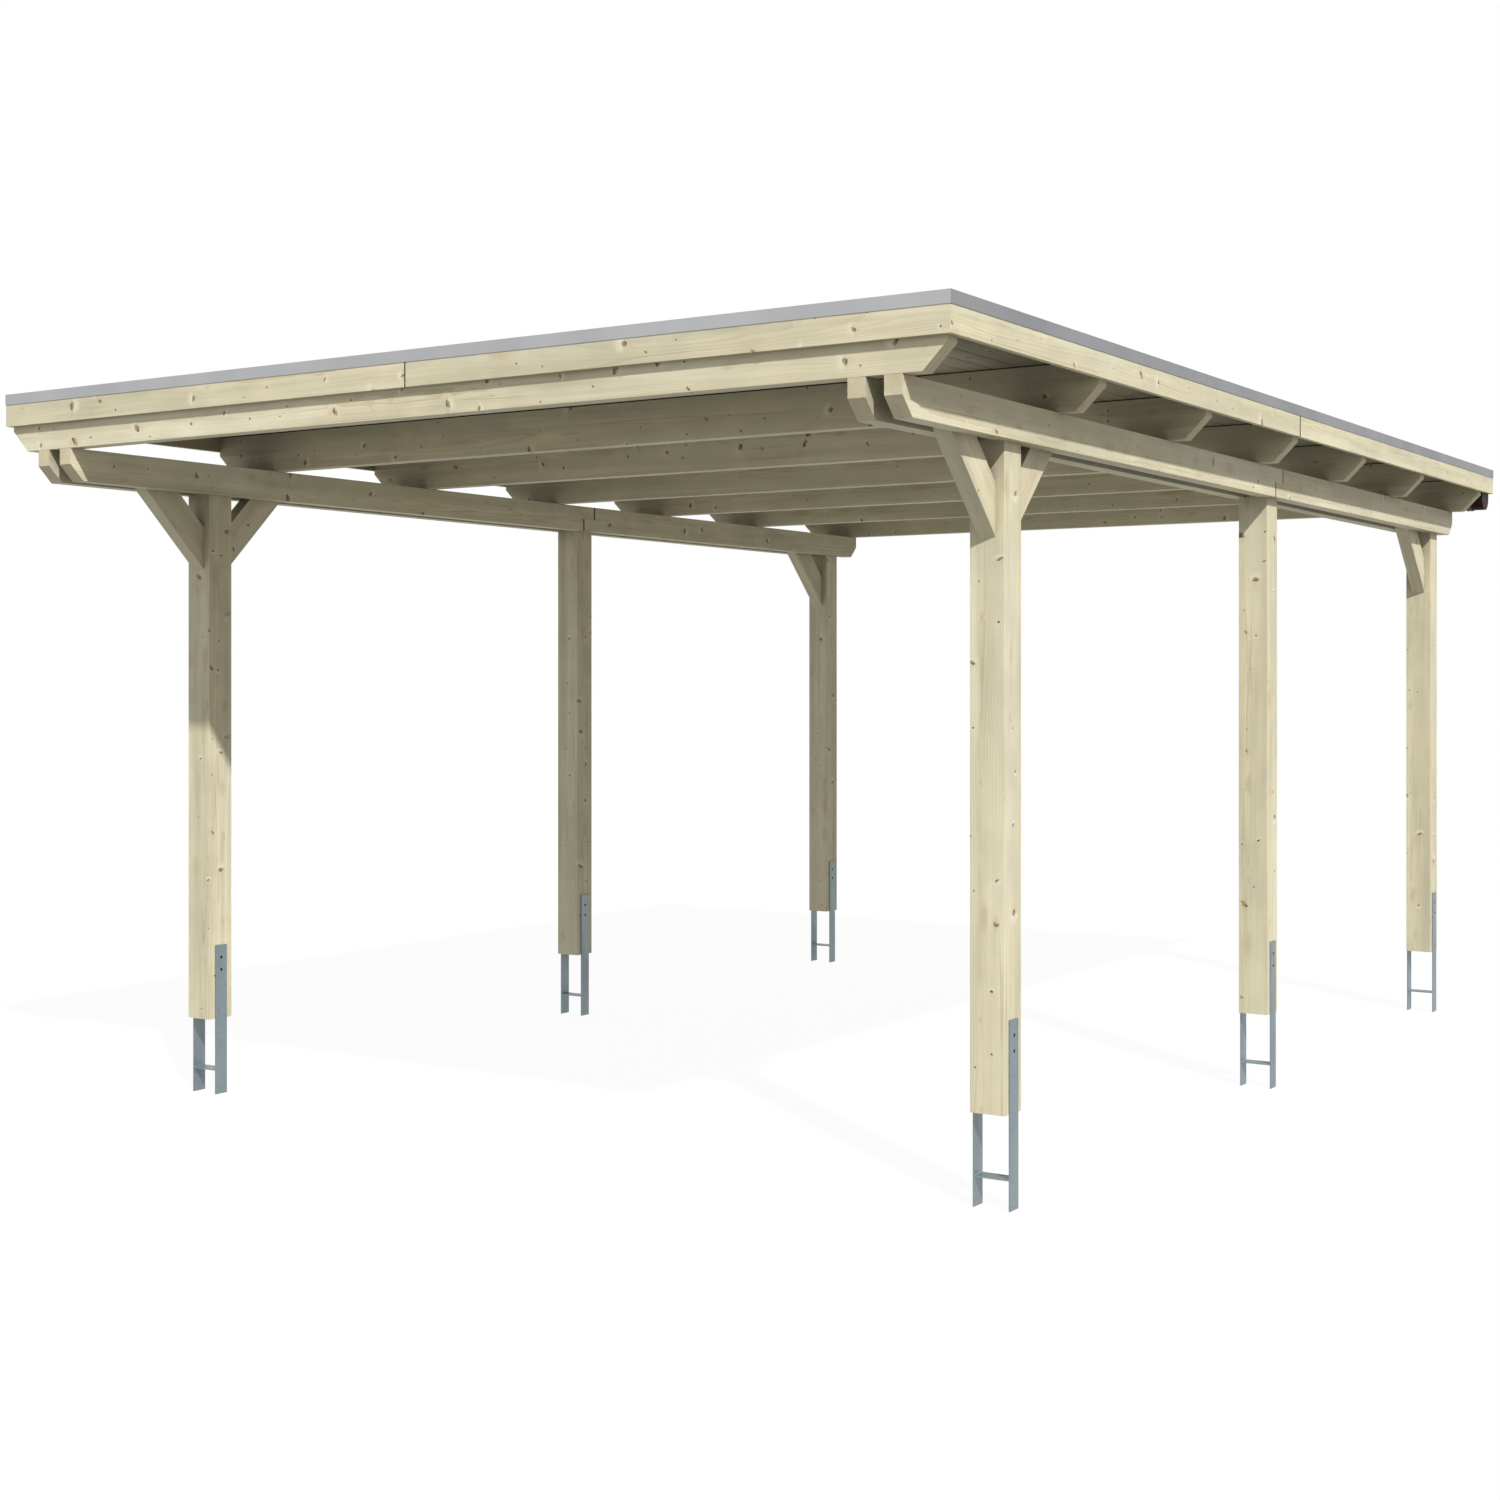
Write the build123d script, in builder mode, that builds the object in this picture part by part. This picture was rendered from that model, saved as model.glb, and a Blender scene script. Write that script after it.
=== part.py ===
from build123d import *
import os

# Flat-roofed timber carport, open on all sides. Millimetres, +Z up, +X to the right of the drive-in
# front, +Y to the rear. The origin is the middle of the roof's plan, at the feet of the post anchors.

# Roof plan and edge
roof_width = 4040
roof_length = 6040
fascia_thickness = 20
fascia_height = 120
fascia_joint_gap = 3
trim_sheet = 2
trim_height = 40
trim_inner_height = 25
membrane_thickness = 2
deck_thickness = 20
deck_rear_overhang = 85
rear_fascia_overhang = 168
drip_flange = 60
drip_height = 45
drip_end_play = 1

# Posts, with a tongue on top that stands between the twin purlins
post_size = 120
post_body = 2110
tongue_thickness = 60
post_side_reach = 255
post_front_reach = 795
post_rear_reach = 237

# Post anchors, H-shaped, of flat steel
strap_length = 600
strap_width = 60
strap_thickness = 5
strap_grip = 296
strap_play = 0.3
crossbar_height = 95
crossbar_thickness = 5
bolt_hole_diameter = 11
bolt_edge = 50
bolt_pitch = 50

# Twin purlins, each in two lengths that are half-lapped over the middle posts
purlin_thickness = 60
purlin_height = 120
purlin_bevel = 60
purlin_side_play = 0.3
lap_length = 90
lap_gap = 2
lap_height_share = 0.5

# Rafters across the purlins
rafter_width = 60
rafter_height = 160
rafter_bevel = 80
end_bay = 1045
joint_rafter_run = 2936

# Head braces at 45 degrees, from the posts up into the gap between the purlins
brace_thickness = 60
brace_depth = 120
brace_reach = 300
brace_top_play = 1

# Rain gutter behind the last rafter
gutter_radius = 64
gutter_wall = 2
gutter_depth = 105
gutter_drop = 42
gutter_standoff = 35
gutter_bead_radius = 3.5
gutter_end_play = 2
cap_thickness = 3
bracket_thickness = 4
bracket_width = 30
bracket_play = 0.3
bracket_lip = 30
bracket_plate_height = 90
bracket_arm_height = 12
bracket_inset = 75
bracket_count = 7

# Eased long edges of the planed timber, and the overrun of every cut
edge_ease = 1
overrun = 10

# Levels
post_foot_z = strap_length - strap_grip
purlin_bottom_z = post_foot_z + post_body
purlin_top_z = purlin_bottom_z + purlin_height
rafter_top_z = purlin_top_z + rafter_height
deck_top_z = rafter_top_z + deck_thickness
trim_top_z = deck_top_z + trim_height
fascia_top_z = trim_top_z - trim_sheet
fascia_bottom_z = fascia_top_z - fascia_height

# Plan of the roof edge
edge_x = roof_width / 2
front_y = -roof_length / 2
rear_y = roof_length / 2
fascia_x = edge_x - trim_sheet
fascia_y = front_y + trim_sheet
frame_x = fascia_x - fascia_thickness
frame_y = fascia_y + fascia_thickness

# Plan of the frame
post_x = edge_x - post_side_reach
purlin_rear_y = rear_y - rear_fascia_overhang
front_post_y = front_y + post_front_reach
rear_post_y = purlin_rear_y - post_rear_reach
post_places_y = {
    "front": front_post_y,
    "middle": (front_post_y + rear_post_y) / 2,
    "rear": rear_post_y,
}
purlin_offset = tongue_thickness / 2 + purlin_side_play + purlin_thickness / 2
first_rafter_y = frame_y + rafter_width / 2
last_rafter_y = purlin_rear_y - rafter_width / 2
second_rafter_y = first_rafter_y + end_bay
joint_rafter_y = first_rafter_y + joint_rafter_run
sixth_rafter_y = last_rafter_y - end_bay
rafter_places_y = [
    first_rafter_y,
    second_rafter_y,
    (second_rafter_y + joint_rafter_y) / 2,
    joint_rafter_y,
    (joint_rafter_y + sixth_rafter_y) / 2,
    sixth_rafter_y,
    last_rafter_y,
]
deck_rear_y = purlin_rear_y + deck_rear_overhang
deck_length = deck_rear_y - frame_y
deck_middle_y = (deck_rear_y + frame_y) / 2

sides = {"left": -1, "right": 1}
os.makedirs("parts", exist_ok=True)


def write(piece, name):
    """Label a finished piece and write it as its own file."""
    piece.part.label = name
    export_step(piece.part, f"parts/{name}.step")


def side_view(x):
    """Plane at x that sees the carport from its right side: local axes +Y and +Z."""
    return Plane((x, 0, 0), x_dir=(0, 1, 0), z_dir=(1, 0, 0))


def front_view(y):
    """Plane at y that sees the carport from its front: local axes +X and +Z."""
    return Plane((0, y, 0), x_dir=(1, 0, 0), z_dir=(0, -1, 0))


def eased_section(width, height):
    """Rectangle of planed timber with its four long edges eased."""
    Rectangle(width, height)
    chamfer(vertices(), edge_ease)


# Posts
def build_post(name, x, y):
    with BuildPart() as post:
        with BuildSketch(Plane((x, y, post_foot_z))):
            eased_section(post_size, post_size)
        extrude(amount=post_body)
        with BuildSketch(Plane((x, y, purlin_bottom_z))):
            Rectangle(tongue_thickness, post_size)
        extrude(amount=purlin_height)
        with BuildSketch(side_view(x)):
            with Locations(*[(y, z) for z in bolt_heights]):
                Circle(bolt_hole_diameter / 2)
        extrude(amount=post_size / 2 + overrun, both=True, mode=Mode.SUBTRACT)
    write(post, name)


# Post anchors
strap_offset = post_size / 2 + strap_play + strap_thickness / 2
strap_gap = 2 * strap_offset - strap_thickness
bolt_heights = [strap_length - bolt_edge, strap_length - bolt_edge - bolt_pitch]


def build_anchor(name, x, y):
    with BuildPart() as anchor:
        with BuildSketch(Plane((x, y, 0))):
            with Locations((-strap_offset, 0), (strap_offset, 0)):
                Rectangle(strap_thickness, strap_width)
        extrude(amount=strap_length)
        with BuildSketch(Plane((x, y, crossbar_height))):
            Rectangle(strap_gap, strap_width)
        extrude(amount=crossbar_thickness)
        with BuildSketch(side_view(x)):
            with Locations(*[(y, z) for z in bolt_heights]):
                Circle(bolt_hole_diameter / 2)
        extrude(amount=strap_offset + overrun, both=True, mode=Mode.SUBTRACT)
    write(anchor, name)


# Purlins
lap_start_y = post_places_y["middle"] - lap_length / 2
lap_end_y = post_places_y["middle"] + lap_length / 2
lap_z = purlin_bottom_z + lap_height_share * purlin_height


def bevel_cut(plane, end, inward, bevel, level, half_width):
    """Take the lower corner off a timber's end at 45 degrees, seen on the given plane."""
    with BuildSketch(plane) as corner:
        with BuildLine():
            Polyline(
                (end - inward * overrun, level + bevel + overrun),
                (end + inward * (bevel + overrun), level - overrun),
                (end - inward * overrun, level - overrun),
                close=True,
            )
        make_face()
    extrude(corner.sketch, amount=half_width + overrun, both=True, mode=Mode.SUBTRACT)


def lap_cut(x, y_low, y_high, z_low, z_high):
    """Take half the height off a purlin's end for the lap."""
    with BuildSketch(side_view(x)) as notch:
        with Locations(((y_low + y_high) / 2, (z_low + z_high) / 2)):
            Rectangle(y_high - y_low, z_high - z_low)
    extrude(notch.sketch, amount=purlin_thickness / 2 + overrun, both=True, mode=Mode.SUBTRACT)


def purlin_bar(x, y_start, y_end):
    """Straight purlin timber between two ends."""
    middle_z = purlin_bottom_z + purlin_height / 2
    with BuildSketch(Plane((x, y_start, middle_z), x_dir=(1, 0, 0), z_dir=(0, 1, 0))) as section:
        eased_section(purlin_thickness, purlin_height)
    extrude(section.sketch, amount=y_end - y_start)


def build_front_purlin(name, x):
    with BuildPart() as purlin:
        purlin_bar(x, frame_y, lap_end_y - lap_gap)
        bevel_cut(side_view(x), frame_y, 1, purlin_bevel, purlin_bottom_z, purlin_thickness / 2)
        lap_cut(x, lap_start_y, lap_end_y + overrun, purlin_bottom_z - overrun, lap_z)
    write(purlin, name)


def build_rear_purlin(name, x):
    with BuildPart() as purlin:
        purlin_bar(x, lap_start_y + lap_gap, purlin_rear_y)
        bevel_cut(side_view(x), purlin_rear_y, -1, purlin_bevel, purlin_bottom_z, purlin_thickness / 2)
        lap_cut(x, lap_start_y - overrun, lap_end_y, lap_z, purlin_top_z + overrun)
    write(purlin, name)


# Rafters
def build_rafter(name, y):
    middle_z = purlin_top_z + rafter_height / 2
    with BuildPart() as rafter:
        with BuildSketch(Plane((-frame_x, y, middle_z), x_dir=(0, 1, 0), z_dir=(1, 0, 0))):
            eased_section(rafter_width, rafter_height)
        extrude(amount=2 * frame_x)
        for end, inward in ((-frame_x, 1), (frame_x, -1)):
            bevel_cut(front_view(y), end, inward, rafter_bevel, purlin_top_z, rafter_width / 2)
    write(rafter, name)


# Head braces
brace_foot_z = purlin_bottom_z - brace_reach
brace_top_z = purlin_top_z - brace_top_play
brace_slant = brace_depth * 2**0.5


def build_brace(name, x, post_y, lean):
    """Brace on a post's front (lean -1) or rear (lean 1) face, cut plumb at the foot, level at the top."""
    face_y = post_y + lean * post_size / 2
    rise = brace_top_z - brace_foot_z
    with BuildPart() as brace:
        with BuildSketch(side_view(x)):
            with BuildLine():
                Polyline(
                    (face_y, brace_foot_z),
                    (face_y + lean * rise, brace_top_z),
                    (face_y + lean * (rise - brace_slant), brace_top_z),
                    (face_y, brace_foot_z + brace_slant),
                    close=True,
                )
            make_face()
        extrude(amount=brace_thickness / 2, both=True)
        chamfer(brace.edges().filter_by(Axis((0, 0, 0), (0, lean, 1))), edge_ease)
    write(brace, name)


for side, sign in sides.items():
    for place, y in post_places_y.items():
        build_post(f"post_{side}_{place}", sign * post_x, y)
        build_anchor(f"anchor_{side}_{place}", sign * post_x, y)
    for layer, outward in (("inner", -1), ("outer", 1)):
        purlin_x = sign * (post_x + outward * purlin_offset)
        build_front_purlin(f"purlin_{side}_{layer}_front", purlin_x)
        build_rear_purlin(f"purlin_{side}_{layer}_rear", purlin_x)
    build_brace(f"brace_{side}_front_forward", sign * post_x, post_places_y["front"], -1)
    build_brace(f"brace_{side}_front_backward", sign * post_x, post_places_y["front"], 1)
    build_brace(f"brace_{side}_rear_forward", sign * post_x, post_places_y["rear"], -1)

for number, y in enumerate(rafter_places_y, start=1):
    build_rafter(f"rafter_{number}", y)

# Roof deck
with BuildPart() as deck:
    with BuildSketch(Plane((0, deck_middle_y, rafter_top_z))):
        Rectangle(2 * frame_x, deck_length)
    extrude(amount=deck_thickness)
write(deck, "roof_deck")

# Roof membrane: a tray, turned up behind the fascia on three sides and open to the gutter
with BuildPart() as membrane:
    with BuildSketch(Plane((0, deck_middle_y, deck_top_z))):
        Rectangle(2 * frame_x, deck_length)
    extrude(amount=membrane_thickness)
    with BuildSketch(Plane((0, deck_middle_y, deck_top_z))):
        Rectangle(2 * frame_x, deck_length)
        with Locations((0, membrane_thickness)):
            Rectangle(2 * (frame_x - membrane_thickness), deck_length, mode=Mode.SUBTRACT)
    extrude(amount=fascia_top_z - deck_top_z)
write(membrane, "roof_membrane")

# Fascia boards, mitred at the front corners and butted over the middle of each side
with BuildPart() as fascia_front:
    with BuildSketch(Plane.XY.offset(fascia_bottom_z)):
        with BuildLine():
            Polyline(
                (fascia_joint_gap / 2, fascia_y),
                (fascia_x, fascia_y),
                (frame_x, frame_y),
                (fascia_joint_gap / 2, frame_y),
                close=True,
            )
        make_face()
        mirror(about=Plane.YZ)
    extrude(amount=fascia_height)
write(fascia_front, "fascia_front")

with BuildPart() as fascia_right:
    with BuildSketch(Plane.XY.offset(fascia_bottom_z)):
        with BuildLine():
            Polyline(
                (fascia_x, fascia_y),
                (fascia_x, joint_rafter_y - fascia_joint_gap / 2),
                (frame_x, joint_rafter_y - fascia_joint_gap / 2),
                (frame_x, frame_y),
                close=True,
            )
        make_face()
        with BuildLine():
            Polyline(
                (fascia_x, joint_rafter_y + fascia_joint_gap / 2),
                (fascia_x, rear_y),
                (frame_x, rear_y),
                (frame_x, joint_rafter_y + fascia_joint_gap / 2),
                close=True,
            )
        make_face()
    extrude(amount=fascia_height)
write(fascia_right, "fascia_right")

with BuildPart() as fascia_left:
    mirror(fascia_right.part, about=Plane.YZ)
write(fascia_left, "fascia_left")

# Metal edge trim: an upside-down channel over the fascia and the membrane's upturn, mitred in front
trim_cover = trim_sheet + fascia_thickness + membrane_thickness + trim_sheet


def trim_profile():
    """Section of the trim: across the edge, outwards positive, and down from its top."""
    with BuildLine() as outline:
        Polyline(
            (0, 0),
            (0, trim_height),
            (-trim_sheet, trim_height),
            (-trim_sheet, trim_sheet),
            (trim_sheet - trim_cover, trim_sheet),
            (trim_sheet - trim_cover, trim_inner_height),
            (-trim_cover, trim_inner_height),
            (-trim_cover, 0),
            close=True,
        )
    make_face(outline.edges())


right_mitre = Plane((edge_x, front_y, 0), x_dir=(0, 0, 1), z_dir=(1, 1, 0))
left_mitre = Plane((-edge_x, front_y, 0), x_dir=(0, 0, 1), z_dir=(-1, 1, 0))

with BuildPart() as trim_front:
    with BuildSketch(Plane((-edge_x, front_y, trim_top_z), x_dir=(0, -1, 0), z_dir=(1, 0, 0))):
        trim_profile()
    extrude(amount=roof_width)
    split(bisect_by=right_mitre, keep=Keep.BOTTOM)
    split(bisect_by=left_mitre, keep=Keep.BOTTOM)
write(trim_front, "edge_trim_front")

with BuildPart() as trim_right:
    with BuildSketch(Plane((edge_x, front_y, trim_top_z), x_dir=(1, 0, 0), z_dir=(0, 1, 0))):
        trim_profile()
    extrude(amount=roof_length)
    split(bisect_by=right_mitre, keep=Keep.TOP)
write(trim_right, "edge_trim_right")

with BuildPart() as trim_left:
    mirror(trim_right.part, about=Plane.YZ)
write(trim_left, "edge_trim_left")

# Drip edge along the open rear end of the deck
drip_x = frame_x - membrane_thickness - drip_end_play
drip_top_z = deck_top_z + membrane_thickness + trim_sheet
with BuildPart() as drip:
    with BuildSketch(side_view(0)):
        with BuildLine():
            Polyline(
                (deck_rear_y - drip_flange, drip_top_z),
                (deck_rear_y + trim_sheet, drip_top_z),
                (deck_rear_y + trim_sheet, drip_top_z - drip_height),
                (deck_rear_y, drip_top_z - drip_height),
                (deck_rear_y, drip_top_z - trim_sheet),
                (deck_rear_y - drip_flange, drip_top_z - trim_sheet),
                close=True,
            )
        make_face()
    extrude(amount=drip_x, both=True)
write(drip, "rear_drip_edge")

# Gutter: a half-round channel with straight upper walls, its rear lip stiffened by a bead
gutter_rim_z = rafter_top_z - gutter_drop
gutter_round_z = gutter_rim_z - gutter_depth + gutter_radius
gutter_y = purlin_rear_y + gutter_standoff + gutter_radius
gutter_end_x = frame_x - gutter_end_play
gutter_half = gutter_end_x - cap_thickness


def channel_outline(radius, top_z, mode=Mode.ADD):
    """Half-round outline about the gutter's axis, with straight sides up to a level."""
    with BuildLine() as outline:
        Line((gutter_y - radius, top_z), (gutter_y - radius, gutter_round_z))
        ThreePointArc(
            (gutter_y - radius, gutter_round_z),
            (gutter_y, gutter_round_z - radius),
            (gutter_y + radius, gutter_round_z),
        )
        Line((gutter_y + radius, gutter_round_z), (gutter_y + radius, top_z))
        Line((gutter_y + radius, top_z), (gutter_y - radius, top_z))
    make_face(outline.edges(), mode=mode)


with BuildPart() as gutter:
    with BuildSketch(side_view(0)):
        channel_outline(gutter_radius, gutter_rim_z)
        channel_outline(gutter_radius - gutter_wall, gutter_rim_z + overrun, Mode.SUBTRACT)
        with Locations((gutter_y + gutter_radius - gutter_wall / 2, gutter_rim_z)):
            Circle(gutter_bead_radius)
    extrude(amount=gutter_half, both=True)
write(gutter, "gutter")

with BuildPart() as caps:
    for start_x in (-gutter_end_x, gutter_half):
        with BuildSketch(side_view(start_x)):
            channel_outline(gutter_radius, gutter_rim_z)
        extrude(amount=cap_thickness)
write(caps, "gutter_end_caps")

# Gutter brackets: a strap under the channel, held by an arm from a plate on the last rafter
hook_inner = gutter_radius + bracket_play
hook_outer = hook_inner + bracket_thickness
hook_top_z = gutter_round_z + bracket_lip
bracket_span = 2 * (gutter_end_x - bracket_inset)
bracket_pitch = bracket_span / (bracket_count - 1)

with BuildPart() as brackets:
    for number in range(bracket_count):
        with BuildSketch(side_view(number * bracket_pitch - bracket_span / 2)):
            channel_outline(hook_outer, hook_top_z)
            channel_outline(hook_inner, hook_top_z + overrun, Mode.SUBTRACT)
            with Locations((purlin_rear_y, hook_top_z)):
                Rectangle(
                    bracket_thickness,
                    bracket_plate_height,
                    align=(Align.MIN, Align.MAX),
                )
                Rectangle(
                    gutter_y - hook_inner - purlin_rear_y,
                    bracket_arm_height,
                    align=(Align.MIN, Align.MAX),
                )
        extrude(amount=bracket_width / 2, both=True)
write(brackets, "gutter_brackets")
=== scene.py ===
# %% [markdown]
# # Dressing a flat-roofed timber carport
# The carport comes as solids: posts, purlins, rafters, braces, roof and gutter, each at its real
# size and place, in metres, with Z up and the drive-in front towards -Y. Nothing here moves or
# resizes them. The lesson gives every solid the surface that the real one has, swaps the plain
# roof panel for separate boards, adds the welds of the post anchors, and ends with a floor, a sun
# and a camera.

# %% Load the solids
import math
import random

import bmesh
import bpy
from mathutils import Matrix, Vector


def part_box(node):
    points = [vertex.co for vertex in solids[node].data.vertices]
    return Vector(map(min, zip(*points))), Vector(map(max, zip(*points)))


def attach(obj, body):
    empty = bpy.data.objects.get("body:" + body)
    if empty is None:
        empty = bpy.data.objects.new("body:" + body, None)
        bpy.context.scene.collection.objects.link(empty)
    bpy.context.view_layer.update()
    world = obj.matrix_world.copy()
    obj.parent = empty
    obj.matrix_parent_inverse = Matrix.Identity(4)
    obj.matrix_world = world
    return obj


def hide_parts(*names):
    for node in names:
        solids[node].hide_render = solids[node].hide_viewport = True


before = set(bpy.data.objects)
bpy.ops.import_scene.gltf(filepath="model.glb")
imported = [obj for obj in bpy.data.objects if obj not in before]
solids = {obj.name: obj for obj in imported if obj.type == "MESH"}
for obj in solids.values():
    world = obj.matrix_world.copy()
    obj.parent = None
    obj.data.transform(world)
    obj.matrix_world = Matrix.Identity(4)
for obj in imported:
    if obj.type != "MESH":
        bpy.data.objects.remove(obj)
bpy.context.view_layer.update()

# %% [markdown]
# ## Wiring nodes
# A material in Blender is a sheet of nodes joined by links. A picture wrapped round each post would
# show the same knots on all six, and it would smear on the cut ends, so every surface here is worked
# out from the point's place in space instead. That takes many small sums, and a helper that adds a
# node and joins its inputs in one line keeps them readable.

# %% A helper that adds nodes and joins them
class Wiring:
    """Adds nodes to one tree. What is fed to an input is a plain value or another node's output."""

    def __init__(self, tree):
        self.tree = tree

    def feed(self, socket, value):
        if isinstance(value, bpy.types.NodeSocket):
            self.tree.links.new(value, socket)
        else:
            socket.default_value = value

    def node(self, kind, inputs=None, **settings):
        made = self.tree.nodes.new(kind)
        for name, value in settings.items():
            setattr(made, name, value)
        for name, value in (inputs or {}).items():
            self.feed(made.inputs[name], value)
        return made

    def group(self, tree, inputs):
        return self.node("ShaderNodeGroup", inputs, node_tree=tree).outputs

    def math(self, operation, *values):
        made = self.node("ShaderNodeMath", dict(enumerate(values)), operation=operation)
        return made.outputs["Value"]

    def product(self, first, *others):
        for other in others:
            first = self.math("MULTIPLY", first, other)
        return first

    def scaled(self, value, factor, plus=0.0):
        return self.math("MULTIPLY_ADD", value, factor, plus)

    def vector(self, operation, *values):
        made = self.node("ShaderNodeVectorMath", dict(enumerate(values)), operation=operation)
        number = operation in ("LENGTH", "DOT_PRODUCT")
        return made.outputs["Value" if number else "Vector"]

    def combine(self, x, y, z=0.0):
        return self.node("ShaderNodeCombineXYZ", {"X": x, "Y": y, "Z": z}).outputs["Vector"]

    def separate(self, vector):
        return self.node("ShaderNodeSeparateXYZ", {"Vector": vector}).outputs


print("wiring helper ready")

# %% [markdown]
# ### Noise, steps and blends
# Most natural patterns come from three things: soft noise for what varies, a smooth step that says
# where one thing ends and another begins, and a blend between two colours. They are added to the
# helper once. Colour ramps would do the same job, but a smooth step between two named numbers is
# easier to read back.

# %% Patterns on top of the wiring
class Pattern(Wiring):
    """Wiring with noise, smooth steps and colour blends."""

    def noise(self, place, per_metre, detail=2.0):
        """Soft blots from 0 to 1, with so many of them a metre along each axis."""
        spread = self.vector("MULTIPLY", place, per_metre)
        inputs = {"Vector": spread, "Scale": 1.0, "Detail": detail}
        return self.node("ShaderNodeTexNoise", inputs).outputs["Fac"]

    def line_noise(self, value, detail=1.0):
        """Soft noise along one number."""
        inputs = {"W": value, "Scale": 1.0, "Detail": detail}
        return self.node("ShaderNodeTexNoise", inputs, noise_dimensions="1D").outputs

    def step(self, value, start, end):
        """A smooth rise from 0 at start to 1 at end, or a fall where start is the higher one."""
        inputs = {"Value": value, "From Min": start, "From Max": end}
        made = self.node("ShaderNodeMapRange", inputs, interpolation_type="SMOOTHSTEP")
        return made.outputs["Result"]

    def blend(self, factor, first, second, mode="MIX"):
        made = self.node("ShaderNodeMix", data_type="RGBA", blend_type=mode)
        for index, value in ((0, factor), (6, first), (7, second)):
            self.feed(made.inputs[index], value)
        return made.outputs[2]

    def dim(self, colour, share):
        """A colour made darker or brighter by a number."""
        return self.blend(1.0, colour, self.combine(share, share, share), "MULTIPLY")


print("noise, steps and blends ready")

# %% [markdown]
# ### Groups and materials
# Nodes that several materials share go into a group with named sockets, so that a change in one
# place reaches all of them. The shader itself stays outside, in each material, where its own
# settings can be seen.

# %% New groups and materials
NUMBER, VECTOR, COLOUR = "NodeSocketFloat", "NodeSocketVector", "NodeSocketColor"


def new_group(name, inputs, outputs):
    """An empty node group with named sockets: its wiring, what goes in and what comes out."""
    tree = bpy.data.node_groups.new(name, "ShaderNodeTree")
    for socket, kind in inputs.items():
        tree.interface.new_socket(socket, in_out="INPUT", socket_type=kind)
    for socket, kind in outputs.items():
        tree.interface.new_socket(socket, in_out="OUTPUT", socket_type=kind)
    wiring = Pattern(tree)
    return wiring, wiring.node("NodeGroupInput").outputs, wiring.node("NodeGroupOutput").inputs


def new_material(name):
    """A material with a Principled shader: the material, its wiring and the shader's inputs."""
    material = bpy.data.materials.new(name)
    material.use_nodes = True
    return material, Pattern(material.node_tree), material.node_tree.nodes["Principled BSDF"].inputs


print("groups and materials ready")

# %% [markdown]
# ## Spruce, cut from a tree
# The frame is planed spruce: pale cream, with faint rings and small brown knots. Its pattern is not
# on the surface but goes right through: rings round a pith, and branches that run out from the pith
# and show as knots where a face cuts them. So the next cells build that tree. Each piece of timber
# hands over the place of a point, measured along, across and through the piece, and where the pith
# ran. Rings then bend round knots, a knot on an edge shows on both faces, and the cut ends show the
# rings as arcs, with nothing drawn by hand.
#
# Branches stand at loose intervals along and round the tree. A Voronoi pattern over those two
# measures gives every branch a cell of its own, with chances for its size and form.

# %% The nearest branch
KNOTS_PER_METRE = 6.0
KNOT_LEAN = 0.25
SMALL_KNOT, LARGE_KNOT = 0.0026, 0.012
MOSTLY_SMALL = 3.0


def wire_branch(wiring, along, radius, angle, knots_per_radian):
    """The nearest branch: the way to it in metres, its radius, and chances of its own."""
    leaning = wiring.scaled(radius, -KNOT_LEAN, along)
    along_rows = wiring.math("MULTIPLY", leaning, KNOTS_PER_METRE)
    angle_rows = wiring.math("MULTIPLY", angle, knots_per_radian)
    cells = wiring.node(
        "ShaderNodeTexVoronoi",
        {"Vector": wiring.combine(along_rows, angle_rows), "Scale": 1.0, "Randomness": 1.0},
        voronoi_dimensions="2D",
    ).outputs
    centre = wiring.separate(cells["Position"])
    chance = wiring.node("ShaderNodeSeparateColor", {"Color": cells["Color"]}).outputs
    away_along = wiring.math("SUBTRACT", along_rows, centre["X"])
    away_along = wiring.math("DIVIDE", away_along, KNOTS_PER_METRE)
    away_angle = wiring.math("SUBTRACT", angle_rows, centre["Y"])
    away_across = wiring.product(wiring.math("DIVIDE", away_angle, knots_per_radian), radius)
    size = wiring.math("POWER", chance["Red"], MOSTLY_SMALL)
    return away_along, away_across, wiring.scaled(size, LARGE_KNOT - SMALL_KNOT, SMALL_KNOT), chance


print(
    f"branches of {2000 * SMALL_KNOT:.0f} to {2000 * LARGE_KNOT:.0f} mm, "
    f"{KNOTS_PER_METRE:.0f} to a metre")

# %% [markdown]
# A planer cuts most branches a little aslant, so a knot is seldom a round dot. Noise makes its edge
# ragged, and each knot gets its own slant and width. A face that runs along a branch would show it
# as a long spike, which a sawmill sorts out, so knots fade where the face doesn't cut the tree
# squarely. They also fade where the angle round the pith jumps from one end of its range to the other.

# %% The form of a knot
RAGGED_PER_METRE, RAGGED = 150.0, 1.3
NOISE_MIDDLE = 0.5
SPARE_CHANCE, EVEN_ODDS = 37.0, 0.5
KNOT_SLANT = 0.75
KNOT_WIDTH, KNOT_WIDTH_SPREAD = 0.7, 0.8
SMEAR_SHAPE, HALO_SHAPE = (0.34, 1.0, 0.0), (0.6, 0.75, 0.0)
ANGLE_JUMP = (math.pi - 0.1, math.pi - 0.3)
SQUARE_CUT = (0.3, 0.55)


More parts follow.
